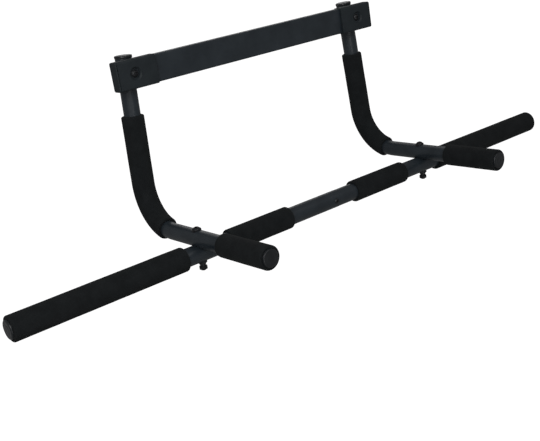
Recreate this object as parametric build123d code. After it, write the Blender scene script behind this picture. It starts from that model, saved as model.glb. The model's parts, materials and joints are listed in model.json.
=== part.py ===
from build123d import *
import math
import os

# Doorway pull-up bar, millimetres.
# Origin: midway between the shoes' undersides, where the bar hangs on the door trim. X runs
# along the bar, towards its right end as the user faces it. Y points away from the user,
# through the doorway. Z is up.

# ---- Layout -------------------------------------------------------------------------------
BAR_LENGTH = 1000.0         # over both end caps
ARM_SPACING = 439.0         # between the two legs, where they cross the long bar
TOE_IN = 2.75                # degrees that each upright leans inward from its leg
BAR_DROP = 217.6            # shoes' undersides down to the long bar's axis
UPRIGHT_REACH = 122.3       # long bar's axis back to the uprights' axes
HANDLE_REACH = 156.4        # long bar's axis forward to the handles' cap faces
CROSSING_LIFT = 20.5        # arm axis above the long bar's axis where they cross
UPRIGHT_STAND = 3.1         # upright tube's end above the header beam's top

# ---- Tubes --------------------------------------------------------------------------------
BAR_R = 12.7
BAR_WALL = 1.5
RIGHT_BAR_R = 12.5          # the right half is a slightly slimmer tube
ARM_R = 11.8
ARM_WALL = 1.5
BEND_R = 63.0               # centre line of the arm's bend
JOINT_X = 29.0              # where the two halves of the long bar meet
SPIGOT_LENGTH = 70.0
SPIGOT_FIT = 0.05

# ---- Header beam and its shoes ------------------------------------------------------------
BEAM_HEIGHT = 38.6
BEAM_DEPTH = 12.0
BEAM_WALL = 1.5
BEAM_CORNER_R = 2.0
SHOE_WALL = 0.9
SHOE_FRONT = 3.6            # thicker wall in front, so that the bolt head stays below it
SHOE_INBOARD = 34.0         # beam bolt's axis to the shoe's open end
SHOE_OUTBOARD = 29.4        # beam bolt's axis to the shoe's closed end
SHOE_CORNER_R = 2.8
SHOE_END_WALL = 2.0         # the closed end
SHOE_END_R = 1.6            # rounding of the closed end's edges
SHOE_FIT = 0.1
SHOE_EYE_R = 7.2            # eye in the shoe's front, round the bolt head
SHOE_EYE_CHAMFER = 2.2
SHOE_GROOVE_WIDTH = 1.2     # upright groove in the shoe's front, next to its closed end
SHOE_GROOVE_DEPTH = 1.0
SHOE_GROOVE_INSET = 1.8

# ---- Foam grips ---------------------------------------------------------------------------
OUTER_GRIP_R = 17.0
INNER_GRIP_R = 16.4
ARM_GRIP_R = 16.1
GRIP_FIT = 0.15
GRIP_EDGE_R = 2.0
OUTER_GRIP_GAP = 27.5       # arm's axis outboard to the outer grip
INNER_GRIP_GAP = 47.5       # arm's axis inboard to the inner grip
INNER_GRIP_START = 64.5     # from the middle of the bar
ARM_GRIP_DROP = 38.5        # shoes' undersides down to the top of the arm grip
ARM_GRIP_TURN = 76.5        # degrees of the bend that the arm grip covers
HANDLE_GRIP_START = 59.0    # long bar's axis forward to the handle grip

# ---- Plastic end caps ---------------------------------------------------------------------
CAP_RIM = 1.8
CAP_DOME = 1.2
UPRIGHT_CAP_WALL = 0.6      # skirt of the upright's cap, outside the tube
UPRIGHT_CAP_GAP = 0.8       # above the shoe
CAP_PLUG_LENGTH = 16.0
CAP_PLUG_WALL = 2.0
CAP_FIT = 0.05

# ---- Fasteners ----------------------------------------------------------------------------
CROSSING_BOLT_R = 3.0
CROSSING_HEAD_R = 5.8
CROSSING_HEAD_HEIGHT = 3.4
BEAM_BOLT_R = 3.0
BEAM_HEAD_R = 5.6
BEAM_HEAD_HEIGHT = 3.2
BEAM_NUT_ACROSS = 10.0
BEAM_NUT_HEIGHT = 5.0
JOINT_SCREW_R = 2.0
JOINT_HEAD_R = 3.8
JOINT_HEAD_HEIGHT = 2.2
JOINT_SCREW_INSET = 9.0     # screw's axis back from the edge of the left half
BOLT_SOCKET_SHARE = 0.5     # hex socket's half width as a share of the head's radius
BOLT_SOCKET_DEPTH = 2.0
THREAD_STAND = 1.5          # thread that shows past a nut
WASHER_R = 6.6
WASHER_THICKNESS = 1.2
HOLE_FIT = 0.15
SEAT_FIT = 0.05             # between curved seats that are clamped together

# ---- Hand nuts under the long bar ---------------------------------------------------------
HAND_NUT_COLLAR_R = 4.9
HAND_NUT_COLLAR_HEIGHT = 2.0
HAND_NUT_WAIST_R = 4.1
HAND_NUT_WAIST_HEIGHT = 3.0
HAND_NUT_FOOT_R = 5.6
HAND_NUT_FOOT_HEIGHT = 4.4
HAND_NUT_BORE_FIT = 0.05
HAND_NUT_FLUTES = 10
HAND_NUT_FLUTE_R = 0.8

# ---- Places worked out from the sizes above -----------------------------------------------
ARM_X = ARM_SPACING / 2
OUTER_GRIP_START = ARM_X + OUTER_GRIP_GAP
INNER_GRIP_END = ARM_X - INNER_GRIP_GAP
UPRIGHT_Y = BEAM_DEPTH / 2 + SHOE_WALL + SEAT_FIT + ARM_R
BEAM_MID_Z = SHOE_WALL + BEAM_HEIGHT / 2
UPRIGHT_TOP = SHOE_WALL + BEAM_HEIGHT + UPRIGHT_STAND
BAR_Y = UPRIGHT_Y - UPRIGHT_REACH
BAR_Z = -BAR_DROP
LEG_Z = BAR_Z + CROSSING_LIFT
CAP_HEIGHT = CAP_RIM + CAP_DOME
BAR_HALF = BAR_LENGTH / 2 - CAP_HEIGHT
HANDLE_END_Y = BAR_Y - HANDLE_REACH + CAP_HEIGHT
BAR_BORE_R = BAR_R - BAR_WALL
RIGHT_BAR_BORE_R = RIGHT_BAR_R - BAR_WALL
ARM_BORE_R = ARM_R - ARM_WALL
BEND_START = Vector(0, UPRIGHT_Y, LEG_Z + BEND_R)
BEND_END = Vector(0, UPRIGHT_Y - BEND_R, LEG_Z)
LEG_AXIS = Axis((ARM_X, 0, LEG_Z), (0, 1, 0))
BEAM_BOLT_X = ARM_X - (BEAM_MID_Z - LEG_Z) * math.tan(math.radians(TOE_IN))


def rod(radius, start, end):
    """A round bar from one point to another."""
    first = Vector(*start)
    run = Vector(*end) - first
    return extrude(Plane(origin=first, z_dir=run) * Circle(radius), run.length)


def pipe(radius, bore, start, end):
    return rod(radius, start, end) - rod(bore, start, end)


def along_bar(radius, start_x, end_x):
    """A round bar on the long bar's axis."""
    return rod(radius, (start_x, BAR_Y, BAR_Z), (end_x, BAR_Y, BAR_Z))


def down_crossing(radius, top, bottom):
    """A round bar on the right crossing bolt's axis."""
    return rod(radius, (ARM_X, BAR_Y, top), (ARM_X, BAR_Y, bottom))


def through_beam(radius, front, back):
    """A round bar on the right beam bolt's axis."""
    return rod(radius, (BEAM_BOLT_X, front, BEAM_MID_Z), (BEAM_BOLT_X, back, BEAM_MID_Z))


def toed_in(piece):
    """A right-hand piece turned about its leg, so that the upright leans inward."""
    return piece.rotate(LEG_AXIS, -TOE_IN)


def button_head(radius, height):
    """A domed screw head with a hex socket. Its seat is at z = 0 and it stands up Z."""
    dome_r = (radius**2 + height**2) / (2 * height)
    ball = Pos(0, 0, height - dome_r) * Sphere(dome_r)
    head = rod(radius, (0, 0, 0), (0, 0, height)) & ball
    socket = extrude(RegularPolygon(radius * BOLT_SOCKET_SHARE, 6), BOLT_SOCKET_DEPTH)
    return head - Pos(0, 0, height - BOLT_SOCKET_DEPTH) * socket


def end_cap(rim_r, bore):
    """A domed plug for a tube's end. The tube ends at z = 0 and the dome stands up Z."""
    dome_r = (rim_r**2 + CAP_DOME**2) / (2 * CAP_DOME)
    ball = Pos(0, 0, CAP_HEIGHT - dome_r) * Sphere(dome_r)
    rim = rod(rim_r, (0, 0, 0), (0, 0, CAP_HEIGHT)) & ball
    plug_r = bore - CAP_FIT
    return rim + pipe(plug_r, plug_r - CAP_PLUG_WALL, (0, 0, -CAP_PLUG_LENGTH), (0, 0, 0))


def sleeve(radius, bore, start, end):
    """A straight foam sleeve with soft outer edges."""
    body = fillet(rod(radius, start, end).edges().filter_by(GeomType.CIRCLE), GRIP_EDGE_R)
    return body - rod(bore + GRIP_FIT, start, end)


# ---- Long bar -----------------------------------------------------------------------------
def bar_tube_left():
    tube = pipe(BAR_R, BAR_BORE_R, (-BAR_HALF, BAR_Y, BAR_Z), (JOINT_X, BAR_Y, BAR_Z))
    bolt_hole = rod(
        CROSSING_BOLT_R + HOLE_FIT,
        (-ARM_X, BAR_Y, BAR_Z - BAR_R),
        (-ARM_X, BAR_Y, BAR_Z + BAR_R),
    )
    return tube - bolt_hole - joint_screw_hole()


def bar_tube_right():
    tube = along_bar(RIGHT_BAR_R, JOINT_X, BAR_HALF)
    spigot_r = BAR_BORE_R - SPIGOT_FIT
    tube += along_bar(spigot_r, JOINT_X - SPIGOT_LENGTH, JOINT_X)
    tube -= along_bar(RIGHT_BAR_BORE_R, JOINT_X, BAR_HALF)
    tube -= along_bar(spigot_r - BAR_WALL, JOINT_X - SPIGOT_LENGTH, JOINT_X)
    tube -= down_crossing(CROSSING_BOLT_R + HOLE_FIT, BAR_Z + BAR_R, BAR_Z - BAR_R)
    return tube - joint_screw_hole()


def joint_screw_axis(depth):
    """A point on the joint screw's axis, this far in front of the long bar's axis."""
    return (JOINT_X - JOINT_SCREW_INSET, BAR_Y - depth, BAR_Z)


def joint_screw_hole():
    return rod(JOINT_SCREW_R + HOLE_FIT, joint_screw_axis(BAR_R), joint_screw_axis(0))


def bar_joint_screw():
    seat = Plane(origin=joint_screw_axis(BAR_R), x_dir=(1, 0, 0), z_dir=(0, -1, 0))
    head = seat * button_head(JOINT_HEAD_R, JOINT_HEAD_HEIGHT)
    tip_depth = BAR_R - 2 * BAR_WALL - THREAD_STAND
    shank = rod(JOINT_SCREW_R, joint_screw_axis(BAR_R), joint_screw_axis(tip_depth))
    skirt = rod(JOINT_HEAD_R, joint_screw_axis(BAR_R - BAR_WALL), joint_screw_axis(BAR_R))
    skirt -= along_bar(BAR_R + SEAT_FIT, JOINT_X - 2 * JOINT_SCREW_INSET, JOINT_X)
    return head + shank + skirt


def bar_end_cap(bar_r, side):
    end = Plane(origin=(side * BAR_HALF, BAR_Y, BAR_Z), x_dir=(0, 1, 0), z_dir=(side, 0, 0))
    return end * end_cap(bar_r, bar_r - BAR_WALL)


def bar_grip(radius, bar_r, start_x, end_x):
    return sleeve(radius, bar_r, (start_x, BAR_Y, BAR_Z), (end_x, BAR_Y, BAR_Z))


# ---- Arms ---------------------------------------------------------------------------------
def swept(radius, path):
    return sweep(Plane(origin=path @ 0, z_dir=path % 0) * Circle(radius), path=path)


def bend_point(turn):
    """The arm's centre line after this many degrees of the bend."""
    angle = math.radians(turn)
    forward = BEND_R * (1 - math.cos(angle))
    down = BEND_R * math.sin(angle)
    return Vector(ARM_X, BEND_START.Y - forward, BEND_START.Z - down)


def arm_path(top_z, turn):
    """The arm's centre line from a height on the upright through part of the bend."""
    upright = Line((ARM_X, UPRIGHT_Y, top_z), bend_point(0))
    return upright + ThreePointArc(bend_point(0), bend_point(turn / 2), bend_point(turn))


def arm_solid(radius):
    """The arm filled in and toed in: upright, bend and leg, out to the handle's end."""
    leg_start = (ARM_X, BEND_END.Y, LEG_Z)
    leg_end = (ARM_X, HANDLE_END_Y, LEG_Z)
    path = Wire([*arm_path(UPRIGHT_TOP, 90).edges(), *Line(leg_start, leg_end).edges()])
    return toed_in(swept(radius, path))


def arm():
    """A bent tube, pressed in from below to seat on the long bar."""
    seat = along_bar(BAR_R + SEAT_FIT, 0, BAR_HALF)
    pressed_in = along_bar(BAR_R + SEAT_FIT + ARM_WALL, 0, BAR_HALF)
    tube = (arm_solid(ARM_R) - seat) - (arm_solid(ARM_BORE_R) - pressed_in)
    tube -= down_crossing(CROSSING_BOLT_R + HOLE_FIT, LEG_Z + ARM_R, BAR_Z)
    return tube - through_beam(BEAM_BOLT_R + HOLE_FIT, UPRIGHT_Y - ARM_R, UPRIGHT_Y + ARM_R)


def arm_grip():
    path = Wire(arm_path(-ARM_GRIP_DROP, ARM_GRIP_TURN).edges())
    body = swept(ARM_GRIP_R, path)
    ends = body.edges().filter_by(GeomType.CIRCLE).filter_by(lambda edge: edge.is_closed)
    ends = [ends.sort_by(Axis.Z)[-1], ends.sort_by(Axis.Y)[0]]
    return toed_in(fillet(ends, GRIP_EDGE_R) - swept(ARM_R + GRIP_FIT, path))


def handle_grip():
    start = (ARM_X, BAR_Y - HANDLE_GRIP_START, LEG_Z)
    return sleeve(ARM_GRIP_R, ARM_R, start, (ARM_X, HANDLE_END_Y, LEG_Z))


def handle_cap():
    end = Plane(origin=(ARM_X, HANDLE_END_Y, LEG_Z), x_dir=(1, 0, 0), z_dir=(0, -1, 0))
    return end * end_cap(ARM_R, ARM_BORE_R)


def upright_cap():
    """A plug whose skirt goes over the tube, down to just above the shoe."""
    skirt_r = ARM_R + UPRIGHT_CAP_WALL
    skirt = UPRIGHT_STAND - SHOE_WALL - UPRIGHT_CAP_GAP
    cap = end_cap(skirt_r, ARM_BORE_R) + pipe(skirt_r, ARM_R + CAP_FIT, (0, 0, -skirt), (0, 0, 0))
    return toed_in(Pos(ARM_X, UPRIGHT_Y, UPRIGHT_TOP) * cap)


# ---- Header beam --------------------------------------------------------------------------
def beam_block(grow, start_x, end_x, corner_r, grow_front=None):
    """The beam's outline, grown by this much all round, from one X to another."""
    front = grow if grow_front is None else grow_front
    outline = RectangleRounded(BEAM_DEPTH + grow + front, BEAM_HEIGHT + 2 * grow, corner_r)
    middle = (start_x, (grow - front) / 2, BEAM_MID_Z)
    return extrude(Plane(origin=middle, x_dir=(0, 1, 0), z_dir=(1, 0, 0)) * outline, end_x - start_x)


def header_beam():
    half = BEAM_BOLT_X + SHOE_OUTBOARD - SHOE_END_WALL - SHOE_FIT
    beam = beam_block(0, -half, half, BEAM_CORNER_R)
    beam -= beam_block(-BEAM_WALL, -half, half, BEAM_CORNER_R - BEAM_WALL)
    hole = through_beam(BEAM_BOLT_R + HOLE_FIT, -BEAM_DEPTH, BEAM_DEPTH)
    return beam - hole - mirror(hole, about=Plane.YZ)


def beam_shoe():
    """A moulded shoe, open inboard, with an eye in front for the bolt's head."""
    inner_x = BEAM_BOLT_X - SHOE_INBOARD
    outer_x = BEAM_BOLT_X + SHOE_OUTBOARD
    shoe = beam_block(SHOE_WALL, inner_x, outer_x, SHOE_CORNER_R, SHOE_FRONT)
    shoe = fillet(shoe.faces().sort_by(Axis.X)[-1].edges(), SHOE_END_R)
    shoe -= beam_block(SHOE_FIT, inner_x, outer_x - SHOE_END_WALL, BEAM_CORNER_R)
    eye_front = -BEAM_DEPTH / 2 - SHOE_FRONT
    shoe -= through_beam(SHOE_EYE_R, eye_front, 0)
    lip = Cone(SHOE_EYE_R + SHOE_EYE_CHAMFER, SHOE_EYE_R, SHOE_EYE_CHAMFER)
    at_eye = Plane(origin=(BEAM_BOLT_X, eye_front, BEAM_MID_Z), z_dir=(0, 1, 0))
    shoe -= at_eye * Pos(0, 0, SHOE_EYE_CHAMFER / 2) * lip
    groove = Box(SHOE_GROOVE_WIDTH, 2 * SHOE_GROOVE_DEPTH, BEAM_HEIGHT + 4 * SHOE_WALL)
    groove_x = outer_x - SHOE_GROOVE_INSET - SHOE_GROOVE_WIDTH / 2
    shoe -= Pos(groove_x, eye_front, BEAM_MID_Z) * groove
    return shoe - through_beam(BEAM_BOLT_R + HOLE_FIT, 0, BEAM_DEPTH)


def beam_bolt():
    """A button-head bolt through the beam and the upright, with its head on the beam."""
    front = -BEAM_DEPTH / 2
    at_head = Plane(origin=(BEAM_BOLT_X, front, BEAM_MID_Z), x_dir=(1, 0, 0), z_dir=(0, -1, 0))
    head = at_head * button_head(BEAM_HEAD_R, BEAM_HEAD_HEIGHT)
    tip = UPRIGHT_Y + ARM_R + WASHER_THICKNESS + BEAM_NUT_HEIGHT + THREAD_STAND
    return head + through_beam(BEAM_BOLT_R, front, tip)


def beam_washer():
    """A saddle washer, hollowed to the upright's back."""
    back = UPRIGHT_Y + ARM_R
    washer = through_beam(WASHER_R, UPRIGHT_Y, back + WASHER_THICKNESS)
    washer -= toed_in(rod(ARM_R + SEAT_FIT, (ARM_X, UPRIGHT_Y, 0), (ARM_X, UPRIGHT_Y, UPRIGHT_TOP)))
    return washer - through_beam(BEAM_BOLT_R + HOLE_FIT, 0, back + WASHER_THICKNESS)


def beam_nut():
    seat_y = UPRIGHT_Y + ARM_R + WASHER_THICKNESS
    seat = Plane(origin=(BEAM_BOLT_X, seat_y, BEAM_MID_Z), z_dir=(0, 1, 0))
    hexagon = RegularPolygon(BEAM_NUT_ACROSS / 2, 6, major_radius=False)
    nut = extrude(seat * hexagon, BEAM_NUT_HEIGHT)
    return nut - through_beam(BEAM_BOLT_R + SEAT_FIT, seat_y, seat_y + BEAM_NUT_HEIGHT)


# ---- Crossings ----------------------------------------------------------------------------
HEAD_SEAT_Z = LEG_Z + ARM_R + WASHER_THICKNESS
NUT_SEAT_Z = BAR_Z - BAR_R - WASHER_THICKNESS
HAND_NUT_HEIGHT = HAND_NUT_COLLAR_HEIGHT + HAND_NUT_WAIST_HEIGHT + HAND_NUT_FOOT_HEIGHT


def crossing_bolt():
    tip = NUT_SEAT_Z - HAND_NUT_HEIGHT - THREAD_STAND
    head = Pos(ARM_X, BAR_Y, HEAD_SEAT_Z) * button_head(CROSSING_HEAD_R, CROSSING_HEAD_HEIGHT)
    return head + down_crossing(CROSSING_BOLT_R, HEAD_SEAT_Z, tip)


def crossing_washer():
    """A saddle washer under the bolt's head, hollowed to the arm's top."""
    washer = down_crossing(WASHER_R, HEAD_SEAT_Z, LEG_Z)
    leg = rod(ARM_R + SEAT_FIT, (ARM_X, BAR_Y - WASHER_R, LEG_Z), (ARM_X, BAR_Y + WASHER_R, LEG_Z))
    return washer - leg - down_crossing(CROSSING_BOLT_R + HOLE_FIT, HEAD_SEAT_Z, LEG_Z)


def bar_washer(bar_r):
    """A saddle washer above the hand nut, hollowed to the long bar's underside."""
    washer = down_crossing(WASHER_R, BAR_Z, NUT_SEAT_Z)
    washer -= along_bar(bar_r + SEAT_FIT, 0, BAR_HALF)
    return washer - down_crossing(CROSSING_BOLT_R + HOLE_FIT, BAR_Z, NUT_SEAT_Z)


def hand_nut():
    """A thumb nut with a collar, a waist and a fluted foot."""
    collar_end = NUT_SEAT_Z - HAND_NUT_COLLAR_HEIGHT
    waist_end = collar_end - HAND_NUT_WAIST_HEIGHT
    foot_end = NUT_SEAT_Z - HAND_NUT_HEIGHT
    nut = down_crossing(HAND_NUT_COLLAR_R, NUT_SEAT_Z, collar_end)
    nut += down_crossing(HAND_NUT_WAIST_R, collar_end, waist_end)
    nut += down_crossing(HAND_NUT_FOOT_R, waist_end, foot_end)
    for place in PolarLocations(HAND_NUT_FOOT_R, HAND_NUT_FLUTES):
        flute = place * rod(HAND_NUT_FLUTE_R, (0, 0, waist_end), (0, 0, foot_end))
        nut -= Pos(ARM_X, BAR_Y, 0) * flute
    return nut - down_crossing(CROSSING_BOLT_R + HAND_NUT_BORE_FIT, NUT_SEAT_Z, foot_end)


# ---- The whole bar ------------------------------------------------------------------------
PAIRED = {
    "arm": arm(),
    "arm_grip": arm_grip(),
    "handle_grip": handle_grip(),
    "handle_cap": handle_cap(),
    "upright_cap": upright_cap(),
    "beam_shoe": beam_shoe(),
    "beam_bolt": beam_bolt(),
    "beam_washer": beam_washer(),
    "beam_nut": beam_nut(),
    "crossing_bolt": crossing_bolt(),
    "crossing_washer": crossing_washer(),
    "hand_nut": hand_nut(),
}

NODES = {
    "bar_tube_left": bar_tube_left(),
    "bar_tube_right": bar_tube_right(),
    "bar_joint_screw": bar_joint_screw(),
    "bar_end_cap_left": bar_end_cap(BAR_R, -1),
    "bar_end_cap_right": bar_end_cap(RIGHT_BAR_R, 1),
    "outer_grip_left": bar_grip(OUTER_GRIP_R, BAR_R, -OUTER_GRIP_START, -BAR_HALF),
    "outer_grip_right": bar_grip(OUTER_GRIP_R, RIGHT_BAR_R, OUTER_GRIP_START, BAR_HALF),
    "inner_grip_left": bar_grip(INNER_GRIP_R, BAR_R, -INNER_GRIP_START, -INNER_GRIP_END),
    "inner_grip_right": bar_grip(INNER_GRIP_R, RIGHT_BAR_R, INNER_GRIP_START, INNER_GRIP_END),
    "bar_washer_left": mirror(bar_washer(BAR_R), about=Plane.YZ),
    "bar_washer_right": bar_washer(RIGHT_BAR_R),
    "header_beam": header_beam(),
}
for name, piece in PAIRED.items():
    NODES[name + "_right"] = piece
    NODES[name + "_left"] = mirror(piece, about=Plane.YZ)

os.makedirs("parts", exist_ok=True)
for name, piece in NODES.items():
    export_step(piece, f"parts/{name}.step")
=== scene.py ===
"""Doorway pull-up bar: the looks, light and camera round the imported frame, in metres."""
import json
import math

import bmesh
import bpy
from mathutils import Matrix, Vector, noise


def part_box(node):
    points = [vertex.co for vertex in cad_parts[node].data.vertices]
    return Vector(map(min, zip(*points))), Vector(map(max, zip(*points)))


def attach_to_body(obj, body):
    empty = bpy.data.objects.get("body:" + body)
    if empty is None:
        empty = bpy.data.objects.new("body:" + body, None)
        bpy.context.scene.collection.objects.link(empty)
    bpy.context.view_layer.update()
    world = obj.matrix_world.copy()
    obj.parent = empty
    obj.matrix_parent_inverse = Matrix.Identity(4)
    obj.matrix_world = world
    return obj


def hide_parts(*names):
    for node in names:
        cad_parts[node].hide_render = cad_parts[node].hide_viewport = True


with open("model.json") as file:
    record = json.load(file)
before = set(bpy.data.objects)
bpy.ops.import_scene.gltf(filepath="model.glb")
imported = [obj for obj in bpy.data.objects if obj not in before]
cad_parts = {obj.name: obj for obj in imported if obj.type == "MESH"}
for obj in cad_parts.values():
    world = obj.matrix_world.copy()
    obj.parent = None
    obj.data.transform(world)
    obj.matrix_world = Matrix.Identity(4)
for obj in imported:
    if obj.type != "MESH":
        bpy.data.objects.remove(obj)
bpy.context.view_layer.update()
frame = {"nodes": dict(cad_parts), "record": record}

MM = 0.001
SIDES = {"left": -1, "right": 1}
X, Y, Z = Vector((1, 0, 0)), Vector((0, 1, 0)), Vector((0, 0, 1))

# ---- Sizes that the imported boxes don't give, as in the CAD model ---------------------------
TUBE_WALL = 1.5 * MM
BEND_R = 63.0 * MM                  # centre line of the arm's bend
TOE_IN = math.radians(2.75)         # lean of each upright, inward from its leg
ARM_GRIP_TURN = math.radians(76.5)  # part of the bend that the arm grip covers
ARM_GRIP_TOP = -38.5 * MM           # height of the arm grip's top, before the lean
UPRIGHT_TOP = 42.6 * MM             # height of the upright tube's end, before the lean
UPRIGHT_CAP_WALL = 0.6 * MM         # skirt of the upright's cap, outside the tube
UPRIGHT_CAP_SKIRT = 1.4 * MM        # length of that skirt
GRIP_FIT = 0.15 * MM
CAP_FIT = 0.05 * MM
CAP_PLUG_LENGTH = 16.0 * MM
CAP_PLUG_WALL = 2.0 * MM

# ---- Camera: where it stands about its target, and its lens --------------------------------
CAMERA_TARGET = (-0.1029, -0.1112, -0.2088)
CAMERA_AZIMUTH = -36.4
CAMERA_ELEVATION = 17.45
CAMERA_ROLL = -9.28
CAMERA_DISTANCE = 1.3025
CAMERA_LENS = 62.0
CAMERA_SENSOR = 36.0


def direction(azimuth, elevation):
    """The unit vector from the object towards a viewer at this azimuth and elevation."""
    a, e = math.radians(azimuth), math.radians(elevation)
    return Vector((math.sin(a) * math.cos(e), -math.cos(a) * math.cos(e), math.sin(e)))


def place_camera():
    data = bpy.data.cameras.new("camera")
    data.lens = CAMERA_LENS
    data.sensor_width = CAMERA_SENSOR
    camera = bpy.data.objects.new("camera", data)
    bpy.context.collection.objects.link(camera)
    back = direction(CAMERA_AZIMUTH, CAMERA_ELEVATION)
    turn = (-back).to_track_quat("-Z", "Y").to_matrix().to_4x4()
    roll = Matrix.Rotation(math.radians(CAMERA_ROLL), 4, "Z")
    place = Matrix.Translation(Vector(CAMERA_TARGET) + back * CAMERA_DISTANCE)
    camera.matrix_world = place @ turn @ roll
    bpy.context.scene.camera = camera


# ---- Node materials ------------------------------------------------------------------------
class Shader:
    """A material's node tree, with short calls to add and join its nodes."""

    def __init__(self, name):
        self.material = bpy.data.materials.new(name)
        self.material.use_nodes = True
        self.tree = self.material.node_tree
        self.surface = self.tree.nodes["Principled BSDF"]
        self.place = self.tree.nodes.new("ShaderNodeTexCoord").outputs["Object"]

    def node(self, kind, **settings):
        made = self.tree.nodes.new("ShaderNode" + kind)
        for key, value in settings.items():
            if hasattr(made, key):
                setattr(made, key, value)
            else:
                made.inputs[key.replace("_", " ")].default_value = value
        return made

    def link(self, source, target):
        self.tree.links.new(source, target)

    def noise(self, scale, detail=2.0, roughness=0.5, stretch=None):
        made = self.node("TexNoise", Scale=scale, Detail=detail, Roughness=roughness)
        place = self.place
        if stretch:
            mapped = self.node("Mapping")
            mapped.inputs["Scale"].default_value = stretch
            self.link(place, mapped.inputs["Vector"])
            place = mapped.outputs["Vector"]
        self.link(place, made.inputs["Vector"])
        return made.outputs["Fac"]

    def cells(self, scale, feature="F1"):
        made = self.node("TexVoronoi", Scale=scale, feature=feature)
        self.link(self.place, made.inputs["Vector"])
        return made.outputs["Distance"]

    def ramp(self, value, stops):
        """Maps a value through (position, grey level) stops."""
        made = self.node("ValToRGB")
        while len(made.color_ramp.elements) < len(stops):
            made.color_ramp.elements.new(0.5)
        for element, (position, level) in zip(made.color_ramp.elements, stops):
            element.position = position
            element.color = (level, level, level, 1)
        self.link(value, made.inputs["Fac"])
        return made.outputs["Color"]

    def mix(self, share, first, second):
        """Mixes two colours by a share that varies over the surface."""
        made = self.node("Mix", data_type="RGBA")
        colours = [socket for socket in made.inputs if socket.type == "RGBA"]
        for socket, colour in zip(colours, (first, second)):
            socket.default_value = (*colour, 1)
        self.link(share, made.inputs[0])
        return next(socket for socket in made.outputs if socket.type == "RGBA")

    def bump(self, height, distance, strength=1.0, below=None):
        made = self.node("Bump", Distance=distance, Strength=strength)
        self.link(height, made.inputs["Height"])
        if below:
            self.link(below, made.inputs["Normal"])
        return made.outputs["Normal"]

    def rounded(self, radius):
        return self.node("Bevel", Radius=radius, samples=4).outputs["Normal"]

    def colour(self, value):
        self.link(value, self.surface.inputs["Base Color"])

    def roughness(self, value):
        self.link(value, self.surface.inputs["Roughness"])

    def normal(self, value):
        self.link(value, self.surface.inputs["Normal"])


def powder_coat():
    """Satin black powder coat: fine orange peel, faint mottling and a few dull scuffs."""
    s = Shader("powder_coat_black")
    mottle = s.ramp(s.noise(38, detail=4, roughness=0.6), [(0.35, 0), (0.7, 1)])
    s.colour(s.mix(mottle, (0.0108, 0.0154, 0.0202), (0.0177, 0.0238, 0.0298)))
    scuff = s.noise(55, detail=6, roughness=0.7, stretch=(1, 1, 7))
    s.roughness(s.ramp(scuff, [(0.3, 0.33), (0.55, 0.39), (0.72, 0.56)]))
    peel = s.bump(s.noise(900, detail=3, roughness=0.6), 0.05 * MM, 0.5, s.rounded(0.35 * MM))
    s.normal(s.bump(s.noise(190, detail=2, roughness=0.5), 0.10 * MM, 0.35, peel))
    s.surface.inputs["Specular IOR Level"].default_value = 0.42
    return s.material


def foam():
    """Closed-cell foam: matte skin with open pores and slight soft unevenness."""
    s = Shader("foam_black")
    pores = s.cells(1500)
    tone = s.ramp(s.noise(60, detail=5, roughness=0.6), [(0.3, 0), (0.75, 1)])
    s.colour(s.mix(tone, (0.0072, 0.0084, 0.0091), (0.0122, 0.0139, 0.0149)))
    s.roughness(s.ramp(s.noise(300, detail=3), [(0.3, 0.88), (0.7, 0.98)]))
    skin = s.bump(s.noise(240, detail=4, roughness=0.65), 0.25 * MM, 0.45)
    s.normal(s.bump(pores, 0.16 * MM, 0.55, skin))
    s.surface.inputs["Specular IOR Level"].default_value = 0.08
    s.surface.inputs["Sheen Weight"].default_value = 0.015
    s.surface.inputs["Sheen Roughness"].default_value = 0.6
    return s.material


def grained_plastic():
    """Moulded black plastic with a fine leather-like grain."""
    s = Shader("shoe_plastic_black")
    tone = s.ramp(s.noise(45, detail=4, roughness=0.6), [(0.35, 0), (0.7, 1)])
    s.colour(s.mix(tone, (0.0115, 0.0155, 0.0185), (0.0165, 0.0215, 0.025)))
    s.roughness(s.ramp(s.noise(130, detail=4, roughness=0.6), [(0.3, 0.52), (0.7, 0.64)]))
    grain = s.bump(s.cells(950, "SMOOTH_F1"), 0.06 * MM, 0.5, s.rounded(0.5 * MM))
    s.normal(s.bump(s.noise(420, detail=3, roughness=0.6), 0.05 * MM, 0.4, grain))
    s.surface.inputs["Specular IOR Level"].default_value = 0.22
    return s.material


def glossy_plastic():
    """Smooth moulded black plastic, with faint flow marks and hairline scratches."""
    s = Shader("cap_plastic_black")
    tone = s.ramp(s.noise(70, detail=3, roughness=0.5), [(0.35, 0), (0.7, 1)])
    s.colour(s.mix(tone, (0.0072, 0.0086, 0.0102), (0.0118, 0.0138, 0.0158)))
    marks = s.noise(160, detail=5, roughness=0.7, stretch=(1, 6, 2))
    s.roughness(s.ramp(marks, [(0.35, 0.29), (0.6, 0.35), (0.75, 0.46)]))
    s.normal(s.bump(s.noise(520, detail=2, roughness=0.5), 0.03 * MM, 0.35, s.rounded(0.3 * MM)))
    s.surface.inputs["Specular IOR Level"].default_value = 0.38
    return s.material


def black_oxide():
    """Black oxide steel: darker film, worn a little brighter in patches."""
    s = Shader("black_oxide_steel")
    wear = s.ramp(s.noise(420, detail=5, roughness=0.65), [(0.5, 0), (0.78, 1)])
    s.colour(s.mix(wear, (0.012, 0.013, 0.015), (0.045, 0.047, 0.050)))
    s.roughness(s.ramp(s.noise(260, detail=4, roughness=0.6), [(0.3, 0.36), (0.7, 0.54)]))
    s.normal(s.bump(s.noise(1300, detail=2, roughness=0.5), 0.03 * MM, 0.5, s.rounded(0.2 * MM)))
    s.surface.inputs["Metallic"].default_value = 0.5
    return s.material


MATERIALS = {
    "powder_coat": powder_coat(),
    "foam": foam(),
    "shoe_plastic": grained_plastic(),
    "cap_plastic": glossy_plastic(),
    "black_bolt": black_oxide(),
}


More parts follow.
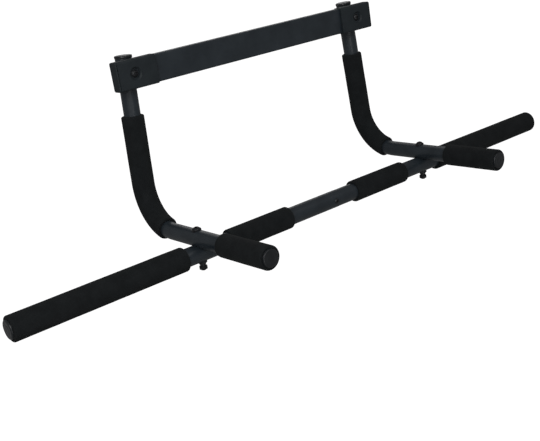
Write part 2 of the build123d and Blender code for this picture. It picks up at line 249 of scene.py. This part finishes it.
def dress_frame():
    """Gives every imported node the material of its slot."""
    slots = {part["node"]: part["material_slot"] for part in frame["record"]["subparts"]}
    for name, node in frame["nodes"].items():
        node.data.materials.clear()
        node.data.materials.append(MATERIALS[slots[name]])


# ---- Meshes --------------------------------------------------------------------------------
def grid_piece(name, rings, material, closed_along=False):
    """A smooth mesh of equal rings joined in turn, whose two ends are joined or filled in."""
    count = len(rings[0])
    spans = len(rings) if closed_along else len(rings) - 1
    faces = []
    for i in range(spans):
        here, there = i * count, (i + 1) % len(rings) * count
        for j in range(count):
            k = (j + 1) % count
            faces.append((here + j, here + k, there + k, there + j))
    mesh = bpy.data.meshes.new(name)
    mesh.from_pydata([tuple(point) for ring in rings for point in ring], [], faces)
    built = bmesh.new()
    built.from_mesh(mesh)
    if not closed_along:
        bmesh.ops.holes_fill(built, edges=[e for e in built.edges if e.is_boundary], sides=0)
    bmesh.ops.recalc_face_normals(built, faces=built.faces)
    built.to_mesh(mesh)
    built.free()
    mesh.polygons.foreach_set("use_smooth", [True] * len(mesh.polygons))
    mesh.materials.append(material)
    piece = bpy.data.objects.new(name, mesh)
    bpy.context.collection.objects.link(piece)
    return piece


def lathe(name, profile, base, axis, across, material, turns):
    """Turns a (height, radius) profile round an axis that starts at a point."""
    side = axis.cross(across)
    rings = []
    for height, radius in profile:
        ring = []
        for j in range(turns):
            angle = math.tau * j / turns
            out = across * math.cos(angle) + side * math.sin(angle)
            ring.append(base + axis * height + out * radius)
        rings.append(ring)
    return grid_piece(name, rings, material)


def attach(piece, node):
    """Puts a piece on the frame's body in place of its CAD node."""
    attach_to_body(piece, "frame")
    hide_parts(node)


# ---- Foam sleeves --------------------------------------------------------------------------
FOAM_RIM_R = 2.0 * MM       # rounding of the cut outer edges
FOAM_RIM_STEPS = 6
FOAM_DISH = 0.35 * MM       # how far the cut ends sink between bore and rim
FOAM_STEP = 3.0 * MM        # between the rings along a sleeve
FOAM_TURNS = 96
FOAM_UNEVEN = 0.12 * MM     # height of the skin's slow unevenness
FOAM_PATCH = 28.0 * MM      # width of its patches
WRINKLE_DEPTH = 0.25 * MM
WRINKLE_STEP = 7.5 * MM     # from fold to fold
WRINKLE_DRIFT = 0.35        # how far a fold wanders, as a share of that step
WRINKLE_FADE = 0.25         # share of the bend over which the folds fade, at each end


def sleeve_profile(length, bore, radius):
    """The closed outline of a cut sleeve, as (distance along it, radius) points."""
    steps = max(2, round(length / FOAM_STEP))
    inner = [(length * i / steps, bore) for i in range(steps, -1, -1)]
    middle = (bore + radius - FOAM_RIM_R) / 2
    rim = []
    for i in range(FOAM_RIM_STEPS + 1):
        angle = math.radians(90 * i / FOAM_RIM_STEPS)
        along = FOAM_RIM_R * (1 - math.cos(angle))
        rim.append((along, radius - FOAM_RIM_R * (1 - math.sin(angle))))
    span = length - 2 * FOAM_RIM_R
    outer = [(FOAM_RIM_R + span * i / steps, radius) for i in range(1, steps)]
    far_rim = [(length - along, r) for along, r in reversed(rim)]
    return [*inner, (FOAM_DISH, middle), *rim, *outer, *far_rim, (length - FOAM_DISH, middle)]


def foam_sleeve(node, length, bore, radius, place_at, wrinkle_at=None):
    """A foam sleeve along a path. place_at gives the centre, inward side and cross side."""
    rings = []
    for along, r in sleeve_profile(length, bore, radius):
        centre, inward, cross = place_at(along)
        ring = []
        for j in range(FOAM_TURNS):
            angle = math.tau * j / FOAM_TURNS
            out = inward * math.cos(angle) + cross * math.sin(angle)
            grow = 0.0
            if r > bore:
                spot = centre + out * r
                share = (r - bore) / (radius - bore)
                grow = FOAM_UNEVEN * share * noise.noise(spot / FOAM_PATCH)
                if wrinkle_at:
                    facing = max(0.0, math.cos(angle)) ** 2
                    drift = WRINKLE_DRIFT * noise.noise(spot / FOAM_PATCH + Z)
                    wave = math.cos(math.tau * (along / WRINKLE_STEP + drift)) - 1
                    grow += WRINKLE_DEPTH / 2 * share * facing * wave * wrinkle_at(along)
            ring.append(centre + out * (r + grow))
        rings.append(ring)
    piece = grid_piece(node + "_foam", rings, MATERIALS["foam"], closed_along=True)
    attach(piece, node)


def half_size(node, axis):
    low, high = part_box(node)
    return (high - low).dot(axis) / 2


def middle_of(node):
    low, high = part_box(node)
    return (low + high) / 2


def lean(side):
    """The turn that leans an upright inward, about its leg."""
    return Matrix.Rotation(-TOE_IN * side, 3, "Y")


def bar_grips():
    """The long and short sleeves on the bar, whose own tubes differ a little."""
    for hand in SIDES:
        tube_r = half_size("bar_end_cap_" + hand, Z)
        for kind in ("outer_grip_", "inner_grip_"):
            node = kind + hand
            low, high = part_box(node)
            centre = middle_of(node)

            def place_at(along):
                return Vector((low.x + along, centre.y, centre.z)), Z, Y

            radius = half_size(node, Z) - FOAM_UNEVEN
            foam_sleeve(node, high.x - low.x, tube_r + GRIP_FIT, radius, place_at)


def arm_grips():
    """Handle grips, and the sleeves that follow the arm's upright and bend."""
    for hand, side in SIDES.items():
        handle = "handle_grip_" + hand
        low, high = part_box(handle)
        leg = middle_of(handle)
        tube_r = half_size("handle_cap_" + hand, Z)
        radius = half_size(handle, Z) - FOAM_UNEVEN
        upright_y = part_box("arm_" + hand)[1].y - tube_r
        run = ARM_GRIP_TOP - leg.z - BEND_R
        across = X * side

        def on_handle(along):
            return Vector((leg.x, low.y + along, leg.z)), Z, X

        foam_sleeve(handle, high.y - low.y, tube_r + GRIP_FIT, radius, on_handle)

        toe = lean(side)
        pivot = Vector((leg.x, 0, leg.z))

        def on_arm(along):
            """Down the upright, then round the bend towards the user."""
            turn = max(0.0, along - run) / BEND_R
            drop = min(along, run) + BEND_R * math.sin(turn)
            forward = BEND_R * (1 - math.cos(turn))
            centre = Vector((leg.x, upright_y - forward, ARM_GRIP_TOP - drop))
            inward = Vector((0, -math.cos(turn), math.sin(turn)))
            return toe @ (centre - pivot) + pivot, toe @ inward, toe @ across

        def in_bend(along):
            reach = (along - run) / (BEND_R * ARM_GRIP_TURN)
            return max(0.0, min(1.0, reach / WRINKLE_FADE, (1 - reach) / WRINKLE_FADE))

        length = run + BEND_R * ARM_GRIP_TURN
        foam_sleeve("arm_grip_" + hand, length, tube_r + GRIP_FIT, radius, on_arm, in_bend)


# ---- End caps ------------------------------------------------------------------------------
CAP_TURNS = 64
CAP_CENTRE = 0.02           # radius of the lid inside the plug, as a share of the rim's
CAP_SEAT = 0.02 * MM        # slope of the rim's back, from its edge in to the plug
CAP_EDGE = 0.4 * MM         # rounding of the rim's back edge
CAP_EDGE_MIDDLE = (0.15 * MM, 0.1 * MM)     # half round it: distance along, and in from the rim
UPRIGHT_CAP_RISE = 2.75 * MM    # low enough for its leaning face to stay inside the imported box
# Rounded front edge: share of the cap's height, and distance in from the rim.
CAP_SHOULDER = ((0.50, 0.0), (0.68, 0.25 * MM), (0.82, 0.8 * MM), (0.90, 1.6 * MM))
# Face, with a ring and a gate mark sunk in it: shares of the cap's height and radius.
CAP_FACE = (
    (0.93, 0.80),
    (0.94, 0.60),
    (0.91, 0.585),
    (0.91, 0.565),
    (0.94, 0.55),
    (0.95, 0.12),
    (0.91, 0.09),
    (0.91, 0.01),
)


def cap_profile(tube_r, rim_r, height, skirt):
    """A hollow plug, a rim that may reach back over the tube, and a face with a shallow ring."""
    plug_r = tube_r - TUBE_WALL - CAP_FIT
    inner_r = plug_r - CAP_PLUG_WALL
    edge_along, edge_in = CAP_EDGE_MIDDLE
    under_skirt = [(0.0, tube_r + CAP_FIT)] if skirt else []
    return [
        (-CAP_PLUG_WALL, CAP_CENTRE * rim_r),
        (-CAP_PLUG_WALL, inner_r),
        (-CAP_PLUG_LENGTH, inner_r),
        (-CAP_PLUG_LENGTH, plug_r),
        (-CAP_SEAT, plug_r),
        *under_skirt,
        (-skirt, rim_r - CAP_EDGE),
        (edge_along - skirt, rim_r - edge_in),
        (CAP_EDGE - skirt, rim_r),
        *((share * height, rim_r - inward) for share, inward in CAP_SHOULDER),
        *((share * height, reach * rim_r) for share, reach in CAP_FACE),
    ]


def end_cap(node, base, axis, across, tube_r, height, wall=0.0, skirt=0.0):
    """A cap in a tube's end, whose rim can be a wall wider and reach back as a skirt."""
    profile = cap_profile(tube_r, tube_r + wall, height, skirt)
    material = MATERIALS["cap_plastic"]
    piece = lathe(node + "_plug", profile, base, axis, across, material, CAP_TURNS)
    attach(piece, node)


def end_caps():
    """Moulded plugs in the ends of the long bar, the handles and the uprights."""
    for hand, side in SIDES.items():
        bar_cap = "bar_end_cap_" + hand
        handle = "handle_cap_" + hand
        top = "upright_cap_" + hand
        bar, bar_r = middle_of(bar_cap), half_size(bar_cap, Z)
        bar_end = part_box("bar_tube_" + hand)[side > 0].x
        leg, tube_r = middle_of(handle), half_size(handle, Z)
        low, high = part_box("arm_" + hand)
        height = low.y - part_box(handle)[0].y
        end_cap(bar_cap, Vector((bar_end, bar.y, bar.z)), X * side, Y, bar_r, height)
        end_cap(handle, Vector((leg.x, low.y, leg.z)), -Y, X, tube_r, height)
        toe = lean(side)
        rise = toe @ Vector((0, high.y - tube_r, UPRIGHT_TOP - leg.z))
        foot = Vector((leg.x, 0, leg.z)) + rise
        skirt = (UPRIGHT_CAP_WALL, UPRIGHT_CAP_SKIRT)
        end_cap(top, foot, toe @ Z, Y, tube_r, UPRIGHT_CAP_RISE, *skirt)


# ---- Floor, light and camera ---------------------------------------------------------------
FLOOR_Z = -3.2              # far enough down that views from below stay above it
BOWL_R = 9.0
BOWL_CURVE_R = 3.0          # from floor to wall
BOWL_CURVE_STEPS = 12
BOWL_MIDDLE_R = 0.05
BOWL_TURNS = 96
BOWL_TOP = 9.0              # height of the wall above the floor
BOWL_WHITE = (0.9, 0.9, 0.9, 1)
BOWL_ROUGHNESS = 0.9
BOWL_GLOW = 0.85            # own light, which nothing but the camera sees
WHITE = (1, 1, 1, 1)
SKY_STRENGTH = 0.24
LIGHT_AIM = Vector((0.0, -0.10, -0.10))
# Soft boxes: azimuth and elevation in degrees, distance and size in metres, power in watts.
SOFTBOXES = {
    "key": (-52, 26, 1.9, (0.8, 1.1), 16.5),
    "fill": (4, 42, 2.4, (1.2, 0.7), 11.0),
    "window": (146, 20, 2.4, (1.0, 0.8), 2.4),
    "low_strip": (-15, -17, 2.2, (0.25, 0.9), 4.0),
}


def stage_bowl():
    """A white floor that curves up into a round wall with a lid, seen by the camera alone."""
    curve_from = BOWL_R - BOWL_CURVE_R
    profile = [(0.0, BOWL_MIDDLE_R)]
    for i in range(BOWL_CURVE_STEPS + 1):
        angle = math.radians(90 * i / BOWL_CURVE_STEPS)
        height = BOWL_CURVE_R * (1 - math.cos(angle))
        profile.append((height, curve_from + BOWL_CURVE_R * math.sin(angle)))
    profile.append((BOWL_TOP, BOWL_R))
    material = bpy.data.materials.new("stage_white")
    material.use_nodes = True
    surface = material.node_tree.nodes["Principled BSDF"]
    surface.inputs["Base Color"].default_value = BOWL_WHITE
    surface.inputs["Roughness"].default_value = BOWL_ROUGHNESS
    surface.inputs["Emission Color"].default_value = WHITE
    surface.inputs["Emission Strength"].default_value = BOWL_GLOW
    bowl = lathe("stage_bowl", profile, Z * FLOOR_Z, Z, X, material, BOWL_TURNS)
    bowl.visible_diffuse = False
    bowl.visible_glossy = False
    bowl.visible_shadow = False


def softbox(name, azimuth, elevation, distance, size, power):
    """A rectangular light that faces the middle of the object."""
    data = bpy.data.lights.new(name, "AREA")
    data.shape = "RECTANGLE"
    data.size, data.size_y = size
    data.energy = power
    light = bpy.data.objects.new(name, data)
    bpy.context.collection.objects.link(light)
    towards = direction(azimuth, elevation)
    light.location = LIGHT_AIM + towards * distance
    light.rotation_euler = (-towards).to_track_quat("-Z", "Y").to_euler()


def lights():
    """Even white light from all round, with soft boxes for the highlights."""
    world = bpy.data.worlds.new("soft_white")
    world.use_nodes = True
    sky = world.node_tree.nodes["Background"]
    sky.inputs["Color"].default_value = WHITE
    sky.inputs["Strength"].default_value = SKY_STRENGTH
    bpy.context.scene.world = world
    for name, settings in SOFTBOXES.items():
        softbox(name, *settings)


dress_frame()
bar_grips()
arm_grips()
end_caps()
stage_bowl()
lights()
place_camera()
bpy.context.scene.view_settings.view_transform = "Standard"

bpy.context.view_layer.update()
